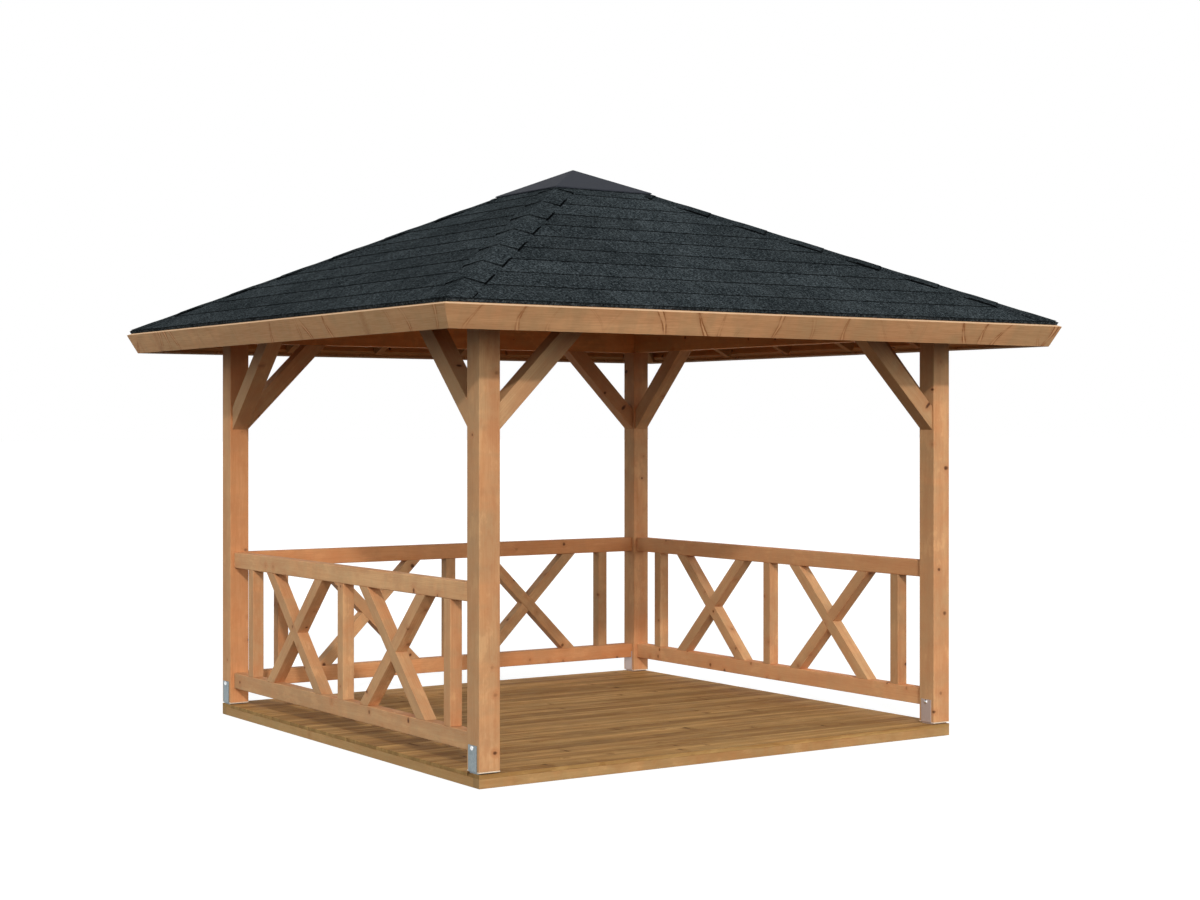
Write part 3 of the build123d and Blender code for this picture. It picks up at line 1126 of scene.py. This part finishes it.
def shoes(material, seat_material):
    """Steel seats on small pads, each with a strap bent up two sides of its post."""
    straps = Piece("bent_post_shoes")
    seats = Piece("post_shoe_seats")
    half = shoe_post_width / 2
    outer = half + shoe_plate
    base = shoe_pad
    height = shoe_high.z - shoe_low.z
    arc = [(1 - cos(a), 1 - sin(a)) for a in [k * pi / 8 for k in range(5)]]
    left = [(-outer, height)] + [(-outer + shoe_bend * u, base + shoe_bend * v) for u, v in arc]
    inside = [(half, height), (half, base + shoe_seat), (-half, base + shoe_seat), (-half, height)]
    strap = left + [(-x, z) for x, z in reversed(left)] + inside

    def box(x, low, high):
        return [(-x, low), (x, low), (x, high), (-x, high)]

    seat = box(half, base + seat_clearance, base + shoe_seat - seat_clearance)
    for at in shoe_places():
        # The shoes on the right get the painted pink reflection of the wood.
        tone = 0.0 if at.x < 0 else 1.0
        for piece, section, depth in (
            (straps, strap, shoe_width / 2),
            (seats, seat, half - seat_clearance),
            (straps, box(half - shoe_pad_inset, 0.0, base), shoe_width / 2 - shoe_pad_end),
        ):
            solid = loft(*[[at + Vector((x, y, z)) for x, z in section] for y in (-depth, depth)])
            ease(solid, shoe_easing, segments=1, sharper_than=60)
            piece.add(solid, rightward, Vector((0, 1, 0)), tone=tone)
    seats.build(seat_material, ["post_shoes"], smooth=35)
    straps.build(material, ["post_shoes"], smooth=35)


def shoe_bolts(material):
    """A bolt through each post, with a domed head on each side."""
    piece = Piece("post_shoe_bolts")
    sphere = (bolt_radius ** 2 + bolt_dome ** 2) / (2 * bolt_dome)
    reach = asin(bolt_radius / sphere)
    head = [(0.0, -bolt_sunk), (bolt_radius, -bolt_sunk), (bolt_radius, bolt_collar)]
    for k in range(1, 8):
        angle = reach * (1 - k / 8)
        head.append((sphere * sin(angle), bolt_collar + sphere * cos(angle) - sphere + bolt_dome))
    head.append((0.0, bolt_collar + bolt_dome))
    for at in shoe_places():
        for face in (-1, 1):
            outward = Vector((face, 0, 0))
            centre = at + outward * (shoe_post_width / 2 + shoe_plate) + upward * bolt_rise
            piece.add(disc_solid(head, centre, outward), outward, upward)
    piece.build(material, ["post_shoes"], smooth=35)


# ---- setting ----


def ground():
    """A white floor that keeps the object's soft shadow."""
    bpy.ops.mesh.primitive_plane_add(size=400, location=(0, 0, -0.002))
    floor = bpy.context.object
    floor.name = "studio_floor"
    g = Graph("floor_white")
    plain = g.made("BsdfDiffuse", {"Color": (floor_bounce,) * 3 + (1,)})[0]
    soft = g.made("BsdfDiffuse", {"Color": (floor_shade,) * 3 + (1,)})[0]
    glow = g.made("Emission", {"Color": (floor_glow,) * 3 + (1,), "Strength": 1.0})[0]
    both = g.made("AddShader", {0: soft, 1: glow})[0]
    g.put(g.output, "Surface", g.made("MixShader", {0: g.seen(), 1: plain, 2: both})[0])
    floor.data.materials.append(g.owner)


def sun():
    """A soft sun from the front left."""
    light = bpy.data.lights.new("soft_sun", "SUN")
    light.energy = 1.50
    light.angle = radians(2.5)
    light.color = (1.0, 0.95, 0.89)
    lamp = bpy.data.objects.new("soft_sun", light)
    to_sun = Vector((-0.442, -0.783, 0.438)).normalized()
    lamp.rotation_euler = to_sun.to_track_quat("Z", "Y").to_euler()
    bpy.context.scene.collection.objects.link(lamp)


def surround():
    """Pale light from all round, brightest a little above the horizon and a little brighter at the front."""
    g = Graph("surround", world=True)
    bpy.context.scene.world = g.owner
    _, back, up = g.split(g.made("TexCoord")["Generated"])
    rise = g.range(up, 0.0, horizon_end, horizon_share, 1.0, smooth=False)
    level = g.range(up, overhead_start, overhead_end, low_light, overhead_light, smooth=False)
    level = g.times(level, rise, g.math("MULTIPLY_ADD", back, -front_light, 1.0))
    fill = g.made("Background", {"Color": (0.95, 1.0, 0.98, 1), "Strength": level})[0]
    white = g.made("Background", {"Color": (1, 1, 1, 1), "Strength": 1.0})[0]
    g.put(g.output, "Surface", g.made("MixShader", {0: g.seen(), 1: fill, 2: white})[0])


def camera():
    """Looks level at the gazebo from the front left, from eye height."""
    data = bpy.data.cameras.new("camera")
    data.sensor_width = 36.0
    data.lens = 60.72
    data.shift_y = -0.0205
    data.clip_end = 500.0
    view = bpy.data.objects.new("camera", data)
    view.location = (-6.5400, -10.0611, 1.7706)
    view.rotation_euler = Euler((radians(90), 0, radians(-33.79)))
    bpy.context.scene.collection.objects.link(view)
    bpy.context.scene.camera = view


# ---- the whole ----

bpy.context.scene.view_settings.view_transform = "Standard"
woods = make_woods()
all_timbers(woods)
for side in ("back", "left", "right"):
    crosses(side, woods)
deck_boards(woods)
roof_covering = shingle_material()
for side in sides:
    roof_boards(side, woods)
    shingles(side, roof_covering)
hip_caps(roof_covering)
apex_cap(painted_metal())
shoes(zinc(), painted_highlight_steel())
shoe_bolts(bright_steel())
ground()
sun()
surround()
camera()
